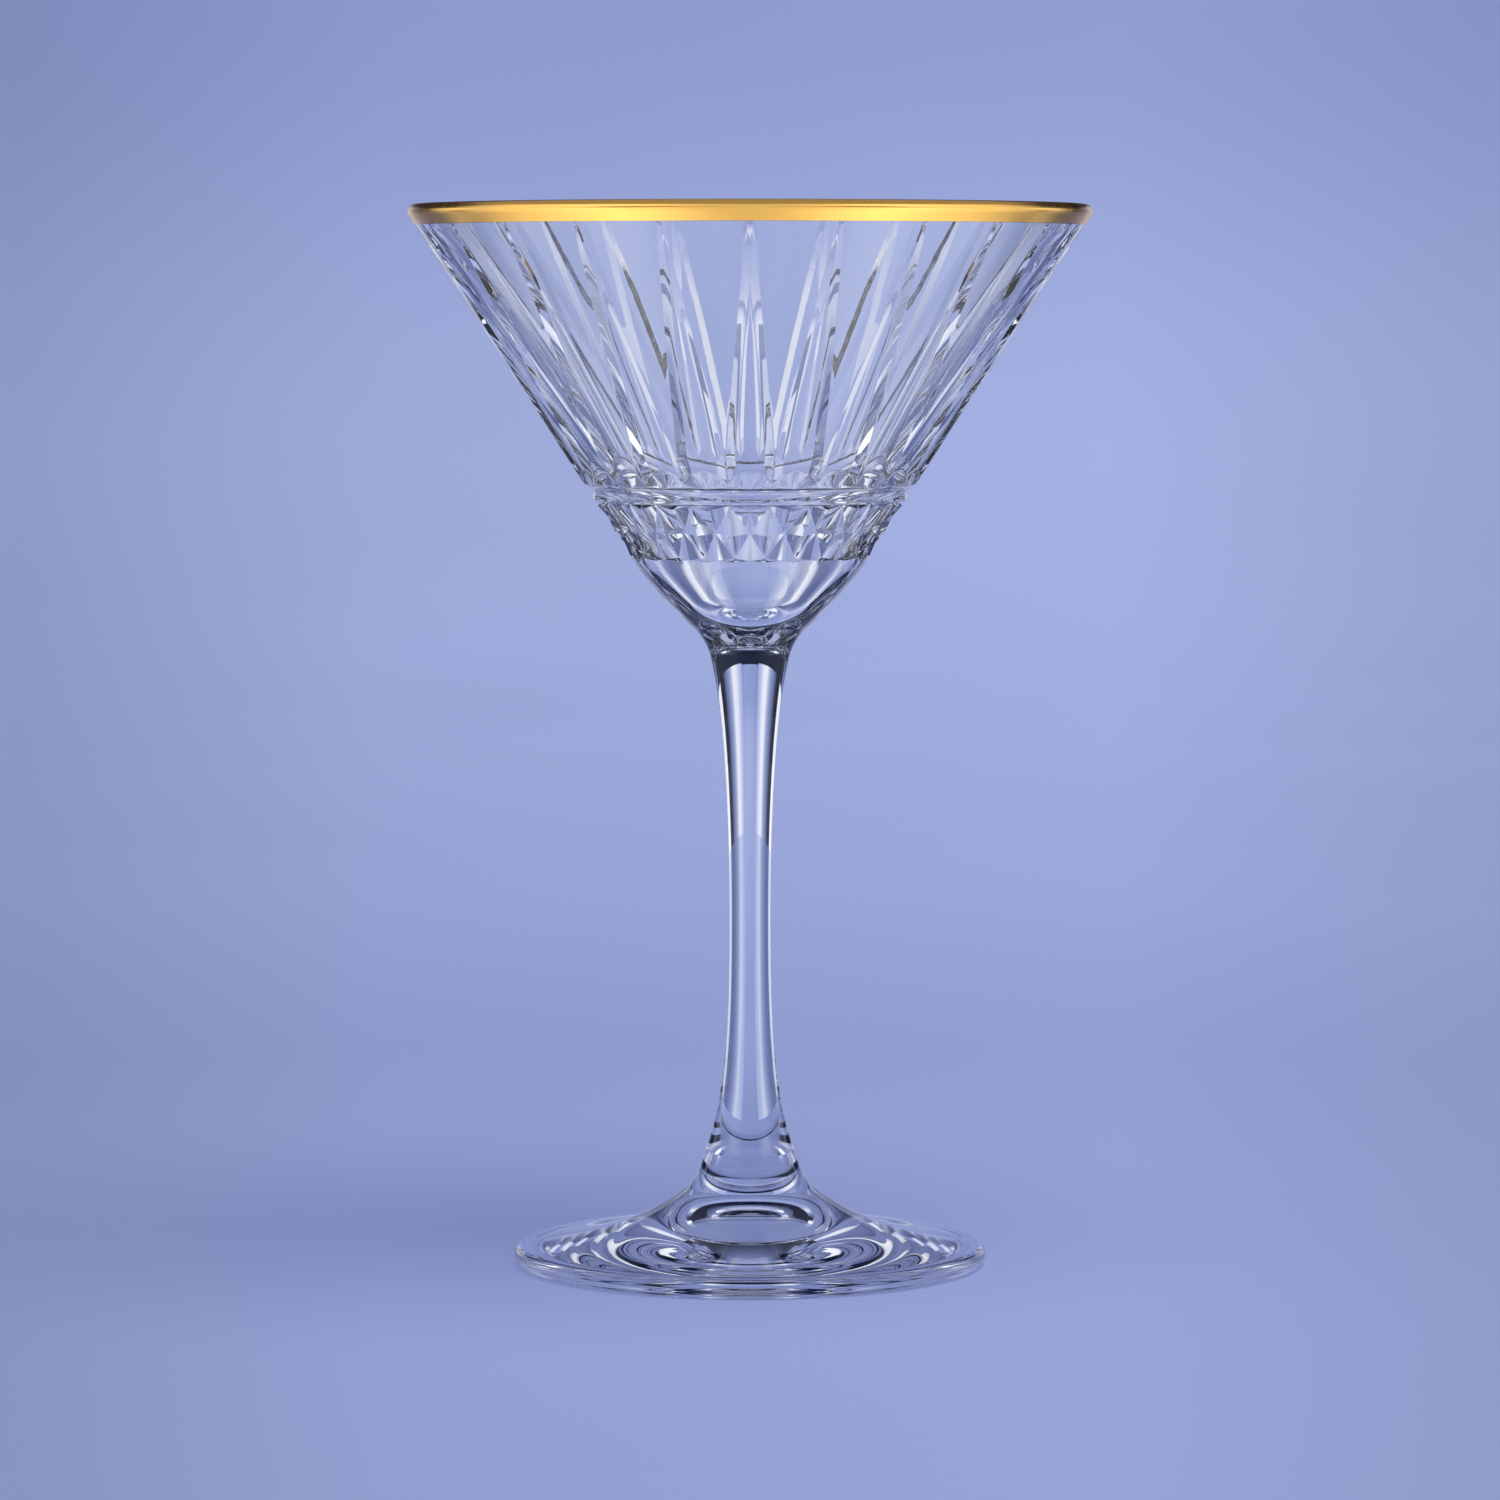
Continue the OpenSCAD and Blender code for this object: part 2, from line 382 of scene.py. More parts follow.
def bowl_outside(s):
    """The bowl's wall from the gilding down to the land over the flank; returns its two end rings."""
    top = GILDING_BOTTOM
    heights = [top, top - 0.12, top - CUT_START_GAP - 0.02, top - 0.7, top - 1.4]
    z = top - 2.6
    while z > 133.0:
        heights.append(z)
        z -= 1.75
    rows = [cut_row(lambda x, h=h: h) for h in heights]
    rows.append(cut_row(lambda x: 132.0))
    rows.append(cut_row(lambda x: blend(130.6, arch_z(x) + 0.9, 0.5)))
    rows.append(cut_row(lambda x: arch_z(x) + 0.3))
    edge = cut_row(lambda x: arch_z(x) + CREASE)
    rows.append(edge)

    # The ramp below the arch, then the ring groove's round floor
    ring_r = (RING_GROOVE_W**2 / 4 + RING_GROOVE_DEPTH**2) / 2 / RING_GROOVE_DEPTH
    bed = ring_r - RING_GROOVE_DEPTH

    def groove_start(x):
        share = min(x / (wall_r(ARCH_LOW) * HALF_SECTOR), 1.0)
        depth = RUN_IN_DEPTH * (1 - share * share)
        return math.sqrt(ring_r**2 - (bed + depth) ** 2), depth

    starts = []
    for j, (x, z, d) in enumerate(edge):
        s0, d0 = groove_start(x)
        starts.append((even_x(126.8, j), RING_GROOVE_Z + s0 * RISE, d0, s0))
    for t in (0.12, 0.4, 0.7, 0.97):
        row = []
        for (x, z, d), (x1, z1, d1, _) in zip(edge, starts):
            row.append((blend(x, x1, t), blend(z, z1, t), blend(d, d1, t)))
        rows.append(row)
    groove_rows = 10
    low_angle = -math.asin(RING_GROOVE_W / 2 / ring_r)
    for n in range(groove_rows + 1):
        row = []
        for j, (_, _, _, s0) in enumerate(starts):
            a = blend(math.asin(s0 / ring_r), low_angle, (n + 0.12) / (groove_rows + 0.12))
            z = RING_GROOVE_Z + ring_r * math.sin(a) * RISE
            row.append((even_x(z, j), z, ring_r * math.cos(a) - bed))
        rows.append(row)

    # The bead, a low round rib, and the steep side of the thin groove
    high = rows[-1][0][1]
    for t, d in ((0.1, -0.01), (0.3, -0.07), (0.55, -0.08), (0.8, -0.03), (1.0, 0.06)):
        z = blend(high, BEAD_LOW, t)
        rows.append([(even_x(z, j), z, d) for j in range(HALF_COLS + 1)])
    for t, d in ((0.35, 0.22), (0.65, 0.38), (1.0, GROOVE_FLOOR_DEPTH)):
        z = blend(BEAD_LOW, GROOVE_FLOOR_Z, t)
        rows.append([(even_x(z, j), z, d) for j in range(HALF_COLS + 1)])

    rings = [mirrored_ring(s, row) for row in rows]
    for a, b in zip(rings, rings[1:]):
        s.strip(a, b)
    land = mirrored_ring(s, [(even_x(LAND_TOP_Z, j), LAND_TOP_Z, 0.0) for j in range(HALF_COLS + 1)])
    diamonds(s, rings[-1], land)
    return rings[0], land


def diamonds(s, groove, land):
    """The band of low pyramids that two sets of mitre cuts leave between the groove and the land."""
    n = len(groove)
    cross, apex, foot, peak, dip = [], [], [], [], []
    for k in range(CUTS):
        border = k + 0.5
        cross.append(s.vert(wall_point(0, DIAMOND_MID_Z, MITRE_DEPTH, k)))
        apex.append(s.vert(wall_point(0, DIAMOND_APEX_Z, 0.0, k)))
        foot.append(s.vert(wall_point(0, DIAMOND_FOOT_Z, 0.0, k)))
        peak.append(s.vert(wall_point(0, DIAMOND_MID_Z, 0.0, border)))
        dip.append(s.vert(wall_point(0, DIAMOND_FOOT_Z - 0.1, MITRE_DEPTH - 0.05, border)))
    for k in range(CUTS):
        for side in (1, -1):
            b = k if side == 1 else (k - 1) % CUTS
            corner = groove[(k * SECTOR_COLS + side * HALF_COLS) % n]
            land_end = land[(k * SECTOR_COLS + side * HALF_COLS) % n]
            s.face(cross[k], peak[b], corner)
            s.face(cross[k], corner, apex[k])
            s.face(cross[k], peak[b], dip[b])
            s.face(cross[k], dip[b], foot[k])
            s.face(foot[k], dip[b], land_end)
            for j in range(HALF_COLS):
                p, q = (k * SECTOR_COLS + side * j) % n, (k * SECTOR_COLS + side * (j + 1)) % n
                s.face(apex[k], groove[p], groove[q])
                s.face(foot[k], land[p], land[q])
            s.creases += [
                (cross[k], peak[b]),
                (cross[k], corner),
                (cross[k], dip[b]),
                (peak[b], corner),
                (peak[b], dip[b]),
                (corner, apex[k]),
                (dip[b], foot[k]),
                (dip[b], land_end),
                (foot[k], land_end),
            ]
        s.creases += [(cross[k], apex[k]), (cross[k], foot[k])]


def make_bowl(glass, weld):
    s = Shell()
    wall_top, land = bowl_outside(s)

    # Outside, below the diamonds: the land, the round flank and the weld under the bowl
    flank = curve(
        (shoulder.x, shoulder.y),
        (-3.2 * math.sin(wall_lean), -3.2 * math.cos(wall_lean)),
        (2.6, 2.2),
        (BOWL_WELD_R, BOWL_BOTTOM),
        26,
    )
    last = land
    for r, z in flank:
        ring = s.ring([around(r, z, HALF_SECTOR * i / HALF_COLS) for i in range(CUTS * SECTOR_COLS)])
        s.strip(last, ring)
        last = ring
    s.fan(last, s.vert((0.0, 0.0, BOWL_BOTTOM)), 1)

    # Under the gilding: the glass is set back by the film's thickness
    back = GILDING_T + FILM_GAP
    step = s.round_ring(wall_r(GILDING_BOTTOM) - back / math.cos(wall_lean), GILDING_BOTTOM)
    s.zip(wall_top, step)
    last = step
    for r, z in arc(lip_c, LIP_R - back, -wall_lean, math.pi - cup_lean, 16):
        ring = s.round_ring(r, z)
        s.strip(last, ring)
        last = ring
    inside_z = GLASS_H - GILDING_INSIDE_H
    for r in (cup_r(inside_z) + back / math.cos(cup_lean), cup_r(inside_z)):
        ring = s.round_ring(r, inside_z)
        s.strip(last, ring)
        last = ring

    # Inside: the plain cone and the round floor
    floor_edge = floor_c.y - FLOOR_R * math.sin(cup_lean)
    for i in range(1, 25):
        z = blend(inside_z, floor_edge, i / 25)
        ring = s.round_ring(cup_r(z), z)
        s.strip(last, ring)
        last = ring
    for r, z in arc(floor_c, FLOOR_R, -cup_lean, -math.pi / 2, 20)[:-1]:
        ring = s.round_ring(r, z)
        s.strip(last, ring)
        last = ring
    s.fan(last, s.vert((0.0, 0.0, floor_c.y - FLOOR_R)))
    return s.build("bowl_glass", [glass, weld], bevel=0.06)


def make_gilding(gold, underside):
    low = (wall_r(GILDING_BOTTOM), GILDING_BOTTOM)
    inside_z = GLASS_H - GILDING_INSIDE_H
    inner = LIP_R - GILDING_T
    wall_end = arc(lip_c, LIP_R, -wall_lean, math.pi - cup_lean, 28)
    outline = [low]
    outline += [(blend(low[0], wall_end[0][0], t), blend(low[1], wall_end[0][1], t)) for t in (0.03, 0.5)]
    outline += wall_end
    outline += [(cup_r(inside_z), inside_z), (cup_r(inside_z) + GILDING_T / math.cos(cup_lean), inside_z)]
    back_from = len(outline) - 1
    outline += arc(lip_c, inner, math.pi - cup_lean, -wall_lean, 16)
    outline += [(low[0] - GILDING_T / math.cos(wall_lean), GILDING_BOTTOM)]
    slots = {n: 1 for n in range(back_from, len(outline) - 1)}
    return turned("rim_gold", outline, [gold, underside], slots, count=360, closed=True)


def make_neck(glass, weld):
    side = curve((NECK_WELD_R, STEM_TOP), (0.4, 1.2), (-1.2, -1.2), (BOWL_WELD_R, BOWL_BOTTOM), 14)
    outline = [(0.0, STEM_TOP)] + side + [(0.0, BOWL_BOTTOM)]
    return turned("neck_glass", outline, [glass, weld], {0: 1, len(outline) - 2: 1})


def make_stem(glass, weld):
    waist = (WAIST_R, COLLAR_TOP + WAIST_UP)
    upper = STEM_TOP - waist[1]
    low = curve((COLLAR_WELD_R, COLLAR_TOP), (-4.4, 10.5), (0, -0.5 * WAIST_UP), waist, 48)
    high = curve(waist, (0, 0.3 * upper), (-2.6, -9.5), (NECK_WELD_R, STEM_TOP), 48)
    outline = [(0.0, COLLAR_TOP)] + low + high[1:] + [(0.0, STEM_TOP)]
    return turned("stem_glass", outline, [glass, weld], {0: 1, len(outline) - 2: 1})


def make_collar(glass, weld):
    side = [(FOOT_WELD_R, FOOT_TOP), (COLLAR_WELD_R, COLLAR_TOP)]
    outline = [(0.0, FOOT_TOP)] + side + [(0.0, COLLAR_TOP)]
    return turned("collar_glass", outline, [glass, weld], {0: 1, len(outline) - 2: 1})


def make_foot(glass, weld):
    edge_r = EDGE_T / 2
    edge_c = (FOOT_R - edge_r, edge_r)
    dome = curve(
        (0, HOLLOW_H + DOME_H),
        (DOME_TOP_SHARE * DOME_R, 0),
        (-DOME_EDGE_SHARE * DOME_R, DOME_RISE_SHARE * DOME_H),
        (DOME_R, HOLLOW_H),
        30,
    )
    hollow_edge = (REST_R - HOLLOW_STEP, HOLLOW_H)
    ring = rounded([dome[-1], hollow_edge, (REST_R, 0.0), (FOOT_R - edge_r, 0.0)], {1: 0.5, 2: 0.3})
    edge = arc(edge_c, edge_r, -math.pi / 2, math.pi / 2, 20)
    top = curve((edge_c[0] - 0.6, EDGE_T), (-13, 1.2), (5.5, -4.4), (FOOT_WELD_R, FOOT_TOP), 48)
    outline = dome + ring[1:-1] + edge + top + [(0.0, FOOT_TOP)]
    return turned("foot_glass", outline, [glass, weld], {len(outline) - 2: 1}, count=384)


# ---------------------------------------------------------------- materials
def new_material(name):
    m = bpy.data.materials.new(name)
    m.use_nodes = True
    m.node_tree.nodes.clear()
    out = m.node_tree.nodes.new("ShaderNodeOutputMaterial")
    return m, m.node_tree.nodes, m.node_tree.links, out


def noise(nodes, links, scale, detail=2.0, stretch=(1, 1, 1)):
    """Object-space noise, stretched along the axes; returns its factor output."""
    coord = nodes.new("ShaderNodeTexCoord")
    place = nodes.new("ShaderNodeMapping")
    place.inputs["Scale"].default_value = stretch
    tex = nodes.new("ShaderNodeTexNoise")
    tex.inputs["Scale"].default_value = scale
    tex.inputs["Detail"].default_value = detail
    links.new(coord.outputs["Object"], place.inputs["Vector"])
    links.new(place.outputs["Vector"], tex.inputs["Vector"])
    return tex.outputs["Fac"]


def ranged(nodes, links, value, low, high):
    fit = nodes.new("ShaderNodeMapRange")
    fit.inputs["From Min"].default_value = 0.3
    fit.inputs["From Max"].default_value = 0.7
    fit.inputs["To Min"].default_value = low
    fit.inputs["To Max"].default_value = high
    links.new(value, fit.inputs["Value"])
    return fit.outputs["Result"]


def maths(nodes, links, operation, *values):
    """A maths node whose inputs are each a number or another node's output; returns its output."""
    node = nodes.new("ShaderNodeMath")
    node.operation = operation
    for socket, value in zip(node.inputs, values):
        if isinstance(value, (int, float)):
            socket.default_value = value
        else:
            links.new(value, socket)
    return node.outputs["Value"]


def length_of(nodes, links, vector):
    node = nodes.new("ShaderNodeVectorMath")
    node.operation = "LENGTH"
    links.new(vector, node.inputs[0])
    return node.outputs["Value"]


def ramp_of(nodes, links, value, stops):
    """A colour ramp over a value, from (position, colour) stops in rising order; returns its output."""
    node = nodes.new("ShaderNodeValToRGB")
    ramp = node.color_ramp
    for e, (at, colour) in zip(ramp.elements, (stops[0], stops[-1])):
        e.position, e.color = at, colour
    for at, colour in stops[1:-1]:
        ramp.elements.new(at).color = colour
    links.new(value, node.inputs["Fac"])
    return node.outputs["Color"]


def glass_material(name, wave_mm, wave_scale, rough, shine):
    m, nodes, links, out = new_material(name)
    body = nodes.new("ShaderNodeBsdfPrincipled")
    body.inputs["Base Color"].default_value = (0.985, 0.99, 1.0, 1)
    body.inputs["Transmission Weight"].default_value = 1.0
    body.inputs["IOR"].default_value = 1.52
    # shine tints the reflections; a low bluish shine is painted shade that makes them dimmer and bluer
    body.inputs["Specular Tint"].default_value = (*shine, 1)
    links.new(ranged(nodes, links, noise(nodes, links, 60), rough[0], rough[1]), body.inputs["Roughness"])
    bump = nodes.new("ShaderNodeBump")
    bump.inputs["Strength"].default_value = 1.0
    bump.inputs["Distance"].default_value = wave_mm * MM
    links.new(noise(nodes, links, wave_scale, 1.0), bump.inputs["Height"])
    links.new(bump.outputs["Normal"], body.inputs["Normal"])
    links.new(body.outputs["BSDF"], out.inputs["Surface"])
    return m


def weld_material():
    """Where two pieces are fused there is no surface, so light passes straight on."""
    m, nodes, links, out = new_material("fused_weld")
    clear = nodes.new("ShaderNodeBsdfTransparent")
    links.new(clear.outputs["BSDF"], out.inputs["Surface"])
    return m


def gold_material():
    m, nodes, links, out = new_material("fired_gold")
    body = nodes.new("ShaderNodeBsdfPrincipled")
    body.inputs["Metallic"].default_value = 1.0
    tone = nodes.new("ShaderNodeMix")
    tone.data_type = "RGBA"
    tone.inputs["A"].default_value = (0.86, 0.487, 0.112, 1)
    tone.inputs["B"].default_value = (0.9, 0.522, 0.13, 1)
    links.new(noise(nodes, links, 90, 3.0), tone.inputs["Factor"])
    links.new(tone.outputs["Result"], body.inputs["Base Color"])
    links.new(ranged(nodes, links, noise(nodes, links, 500, 3.0), 0.2, 0.27), body.inputs["Roughness"])
    bump = nodes.new("ShaderNodeBump")
    bump.inputs["Strength"].default_value = 0.25
    bump.inputs["Distance"].default_value = 0.01 * MM
    links.new(noise(nodes, links, 900, 2.0), bump.inputs["Height"])
    links.new(bump.outputs["Normal"], body.inputs["Normal"])
    links.new(body.outputs["BSDF"], out.inputs["Surface"])
    return m


def underside_material():
    """The gold film as the glass sees it from behind: painted shade, a dark navy in place of the gold, with
    hardly any shine.
    """
    m, nodes, links, out = new_material("fired_gold_underside")
    body = nodes.new("ShaderNodeBsdfPrincipled")
    tone = nodes.new("ShaderNodeMix")
    # Painted shade: the film's back gets a dark navy, not its gold colour.
    tone.data_type = "RGBA"
    tone.inputs["A"].default_value = (0.012, 0.015, 0.028, 1)
    tone.inputs["B"].default_value = (0.020, 0.023, 0.038, 1)
    links.new(noise(nodes, links, 300, 3.0), tone.inputs["Factor"])
    links.new(tone.outputs["Result"], body.inputs["Base Color"])
    links.new(ranged(nodes, links, noise(nodes, links, 120), 0.45, 0.6), body.inputs["Roughness"])
    links.new(body.outputs["BSDF"], out.inputs["Surface"])
    return m


# ---------------------------------------------------------------- the pieces
cut_glass = glass_material("cut_glass", 0.004, 260, (0.0, 0.02), (1.0, 1.0, 1.0))
# Painted shade on reflections: the clear glass reflects dimmer and bluer than the cut glass, through its low
# bluish shine.
clear_glass = glass_material("clear_glass", 0.002, 160, (0.0, 0.015), (0.22, 0.28, 0.42))
weld = weld_material()
gold = gold_material()
gold_underside = underside_material()

pieces = [
    (make_bowl(cut_glass, weld), "bowl", "cut_glass"),
    (make_gilding(gold, gold_underside), "rim_gilding", "fired_gold"),
    (make_neck(clear_glass, weld), "neck", "clear_glass"),
    (make_stem(clear_glass, weld), "stem", "clear_glass"),
    (make_collar(clear_glass, weld), "collar", "clear_glass"),
    (make_foot(clear_glass, weld), "foot", "clear_glass"),
]
for obj, node, slot in pieces:
    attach(obj, "root")
    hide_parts(node)
for node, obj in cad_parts.items():
    obj.data.materials.clear()
    obj.data.materials.append(gold if node == "rim_gilding" else clear_glass)


# ---------------------------------------------------------------- the studio, in metres
# Colours are screen values from 0 to 255, with an optional gain. The paper's tones are painted light
# falloff: they go by the distance from the glass, as a share of PAPER_REACH, darker near the glass and
# lighter far back, and fade up the wall into a darker high tone between two heights.
PAPER_GLOW, PAPER_REACH, PAPER_FADE = 0.72, 5.0, (0.06, 0.34)
PAPER_TONES = [
    (0.0, (126, 138, 191)),
    (0.06, (129, 140, 192)),
    (0.12, (149, 161, 210)),
    (0.226, (163, 177, 224)),
    (0.44, (174, 186, 231)),
]
PAPER_HIGH_TONE = (148, 160, 209)
PAPER_MATT = (0.33, 0.36, 0.46, 1)

# Painted light: a pool of light painted into the paper's glow widens to the back, a little to the right of
# the middle:
# each share is at a place from left to right, where 0.5 is the middle.
POOL_START, POOL_NEAR = 1.0, 0.4
POOL_SHARES = [(0.1, 0.8), (0.26, 0.72), (0.38, 0.95), (0.5, 1.0), (0.62, 1.05), (0.74, 0.86), (0.9, 0.86)]


def srgb(r, g, b, gain=1.0):
    """A colour given in screen values from 0 to 255, as linear light."""
    linear = []
    for c in (r, g, b):
        c /= 255
        linear.append((c / 12.92 if c <= 0.04045 else ((c + 0.055) / 1.055) ** 2.4) * gain)
    return (*linear, 1)


def stage_object(name, verts, faces, material, smooth=True):
    mesh = bpy.data.meshes.new(name)
    mesh.from_pydata(verts, [], faces)
    mesh.materials.append(material)
    for p in mesh.polygons:
        p.use_smooth = smooth
    obj = bpy.data.objects.new(name, mesh)
    bpy.context.scene.collection.objects.link(obj)
    return obj


def paper_material():
    """Periwinkle paper with painted light: it glows a little by itself, so that the glass's shadow on it
    stays faint, and its glow carries a painted light falloff and a painted pool of light.
    """
    m, nodes, links, out = new_material("paper")
    coord = nodes.new("ShaderNodeTexCoord")
    split = nodes.new("ShaderNodeSeparateXYZ")
    links.new(coord.outputs["Object"], split.inputs["Vector"])
    flat = nodes.new("ShaderNodeCombineXYZ")
    links.new(split.outputs["X"], flat.inputs["X"])
    links.new(split.outputs["Y"], flat.inputs["Y"])
    # Painted light falloff: the tone goes by the distance from the glass, darker near it and lighter far
    # back, and turns darker up the wall.
    distance = length_of(nodes, links, flat.outputs["Vector"])
    distance = maths(nodes, links, "MULTIPLY", distance, 1 / PAPER_REACH)
    across = ramp_of(nodes, links, distance, [(at, srgb(*tone)) for at, tone in PAPER_TONES])
    up = nodes.new("ShaderNodeMapRange")
    up.inputs["From Min"].default_value = PAPER_FADE[0]
    up.inputs["From Max"].default_value = PAPER_FADE[1]
    up.inputs["To Min"].default_value = 0.0
    up.inputs["To Max"].default_value = 1.0
    up.interpolation_type = "SMOOTHSTEP"
    links.new(split.outputs["Z"], up.inputs["Value"])
    tone = nodes.new("ShaderNodeMix")
    tone.data_type = "RGBA"
    tone.inputs["B"].default_value = srgb(*PAPER_HIGH_TONE)
    links.new(up.outputs["Result"], tone.inputs["Factor"])
    links.new(across, tone.inputs["A"])
    grain = nodes.new("ShaderNodeMix")
    grain.data_type = "RGBA"
    grain.blend_type = "MULTIPLY"
    grain.inputs["Factor"].default_value = 1.0
    links.new(tone.outputs["Result"], grain.inputs["A"])
    links.new(ranged(nodes, links, noise(nodes, links, 4, 2.0), 0.985, 1.015), grain.inputs["B"])

    # A painted pool of light: the paper's glow widens to the back, a little to the right of the middle
    depth = maths(nodes, links, "ADD", split.outputs["Y"], POOL_START)
    depth = maths(nodes, links, "MAXIMUM", depth, POOL_NEAR)
    aside = maths(nodes, links, "DIVIDE", split.outputs["X"], depth)
    place = maths(nodes, links, "MULTIPLY_ADD", aside, 2.0, 0.5)
    pool = ramp_of(nodes, links, place, [(at, (share, share, share, 1)) for at, share in POOL_SHARES])
    glow = nodes.new("ShaderNodeEmission")
    links.new(maths(nodes, links, "MULTIPLY", pool, PAPER_GLOW), glow.inputs["Strength"])
    matt = nodes.new("ShaderNodeBsdfDiffuse")
    both = nodes.new("ShaderNodeAddShader")
    links.new(grain.outputs["Result"], glow.inputs["Color"])
    matt.inputs["Color"].default_value = PAPER_MATT
    links.new(glow.outputs["Emission"], both.inputs[0])
    links.new(matt.outputs["BSDF"], both.inputs[1])
    links.new(both.outputs["Shader"], out.inputs["Surface"])
    return m


def card_material(name, colour):
    """A studio card that gives or swallows light, a little uneven across its face."""
    m, nodes, links, out = new_material(name)
    glow = nodes.new("ShaderNodeEmission")
    glow.inputs["Color"].default_value = colour
    uneven = noise(nodes, links, 2, 1.0)
    links.new(ranged(nodes, links, uneven, 0.96, 1.04), glow.inputs["Strength"])
    links.new(glow.outputs["Emission"], out.inputs["Surface"])
    return m


def angle_material(name, stops, upright=False):
    """A glow that changes with the angle from the front (or, upright, with the elevation), in degrees.
    Each stop is (angle, red, green, blue) in screen values, with an optional gain."""
    m, nodes, links, out = new_material(name)
    coord = nodes.new("ShaderNodeTexCoord")
    split = nodes.new("ShaderNodeSeparateXYZ")
    links.new(coord.outputs["Object"], split.inputs["Vector"])
    if upright:
        share = maths(
            nodes, links, "DIVIDE", split.outputs["Z"], length_of(nodes, links, coord.outputs["Object"])
        )
        angle = maths(nodes, links, "ARCSINE", share)
    else:
        side = maths(nodes, links, "ABSOLUTE", split.outputs["X"])
        front = maths(nodes, links, "MULTIPLY", split.outputs["Y"], -1.0)
        angle = maths(nodes, links, "ARCTAN2", side, front)
    turn = maths(nodes, links, "DIVIDE", angle, math.pi)
    fade = ramp_of(nodes, links, turn, [(at / 180, srgb(*rest)) for at, *rest in stops])
    glow = nodes.new("ShaderNodeEmission")
    links.new(fade, glow.inputs["Color"])
    links.new(ranged(nodes, links, noise(nodes, links, 2, 1.0), 0.97, 1.03), glow.inputs["Strength"])
    links.new(glow.outputs["Emission"], out.inputs["Surface"])
    return m


def sweep():
    """Floor and wall in one: a round sheet of paper that curves up far behind the glass."""
    outline = [(0.0, 0.0)] + [(r, 0.0) for r in (0.3, 0.8, 1.4)]
    outline += arc((1.6, 1.2), 1.2, -math.pi / 2, 0, 24) + [(2.8, 2.6)]
    verts, faces = [(0.0, 0.0, 0.0)], []
    count = 96
    for r, z in outline[1:]:
        verts += [around(r, z, math.tau * i / count) for i in range(count)]
    for i in range(count):
        faces.append((0, 1 + (i + 1) % count, 1 + i))
    for k in range(len(outline) - 2):
        a, b = 1 + k * count, 1 + (k + 1) * count
        for i in range(count):
            j = (i + 1) % count
            faces.append((a + i, a + j, b + j, b + i))
    return stage_object("paper_sweep", verts, faces, paper_material())


def panel(name, start, end, outline, material, seen_through=True):
    """A studio panel swept between two angles (degrees from straight behind) along an outline of
    (distance, height) in metres. It lights the glass and the gold but isn't seen by the camera."""
    steps = max(2, int(abs(end - start) / 4))
    verts, faces = [], []
    for i in range(steps + 1):
        a = math.radians(180 + start + (end - start) * i / steps)
        verts += [around(r, z, a) for r, z in outline]
    n = len(outline)
    for i in range(steps):
        for k in range(n - 1):
            a, b = i * n + k, (i + 1) * n + k
            faces.append((a, a + 1, b + 1, b))
    obj = stage_object(name, verts, faces, material)
    obj.visible_camera = False
    obj.visible_shadow = False
    obj.visible_diffuse = False
    obj.visible_transmission = seen_through
    return obj


def dome(radius, low, high, steps=8):
    """An outline that follows a dome from one elevation to another, in degrees."""
    angles = [math.radians(low + (high - low) * i / steps) for i in range(steps + 1)]
    return [(radius * math.cos(a), radius * math.sin(a)) for a in angles]


sweep()

# What stands behind the glass, by its angle from straight behind: paper, a soft white strip that fades
# into blue-grey, a black flag and a bright white side. It is the same left and right, behind and ahead.
CARD_STOPS = [
    (9, 160, 173, 222),
    (12, 178, 188, 228),
    (16, 226, 230, 246),
    (20, 232, 236, 250),
    (24, 160, 170, 208),
    (28, 128, 140, 184),
    (35, 84, 94, 138),
    (39, 14, 17, 34),
    (50, 10, 12, 26),
    (54, 235, 238, 250, 1.25),
    (70, 248, 249, 255, 1.35),
    (80, 226, 230, 246, 1.1),
]
# The same cards where they lie on the floor: softer, and with no black
LOW_STOPS = [
    (9, 160, 173, 222),
    (13, 172, 183, 225),
    (18, 200, 207, 234),
    (23, 150, 161, 206),
    (29, 118, 130, 180),
    (37, 92, 104, 154),
    (50, 88, 100, 152),
    (56, 214, 220, 242),
    (70, 242, 245, 252, 1.2),
    (80, 220, 225, 242),
]
CARD_START, CARD_END = 9, 80
CARD_FLOOR_IN, CARD_FLOOR_Z, CARD_TURN, CARD_LIFT, CARD_TOP = 0.05, 0.002, 1.3, 0.2, 0.4
flat = [(CARD_FLOOR_IN, CARD_FLOOR_Z), (CARD_TURN, CARD_FLOOR_Z)]
rise = arc((CARD_TURN, CARD_FLOOR_Z + CARD_LIFT), CARD_LIFT, -math.pi / 2, 0, 8)
rise += [(CARD_TURN + CARD_LIFT, CARD_TOP)]
for part, outline, stops in (("upright", rise, CARD_STOPS), ("low", flat, LOW_STOPS)):
    ahead = angle_material(f"cards_ahead_{part}", stops)
    behind = angle_material(f"cards_behind_{part}", [(180 - a, *c) for a, *c in reversed(stops)])
    for side, mirror in (("left", -1), ("right", 1)):
        start, end = mirror * CARD_START, mirror * CARD_END
        panel(f"cards_behind_{part}_{side}", start, end, outline, behind)
        panel(f"cards_ahead_{part}_{side}", mirror * 180 - start, mirror * 180 - end, outline, ahead)

# A bright room in front that only reflections show, by its angle from the front
FRONT = [
    (0, 240, 243, 250, 0.9),
    (17, 244, 246, 252, 1.05),
    (30, 250, 251, 255, 1.45),
    (50, 255, 255, 255, 1.95),
    (68, 250, 251, 255, 1.6),
    (90, 244, 246, 252, 1.25),
    (105, 220, 225, 242),
    (118, 90, 98, 130),
]
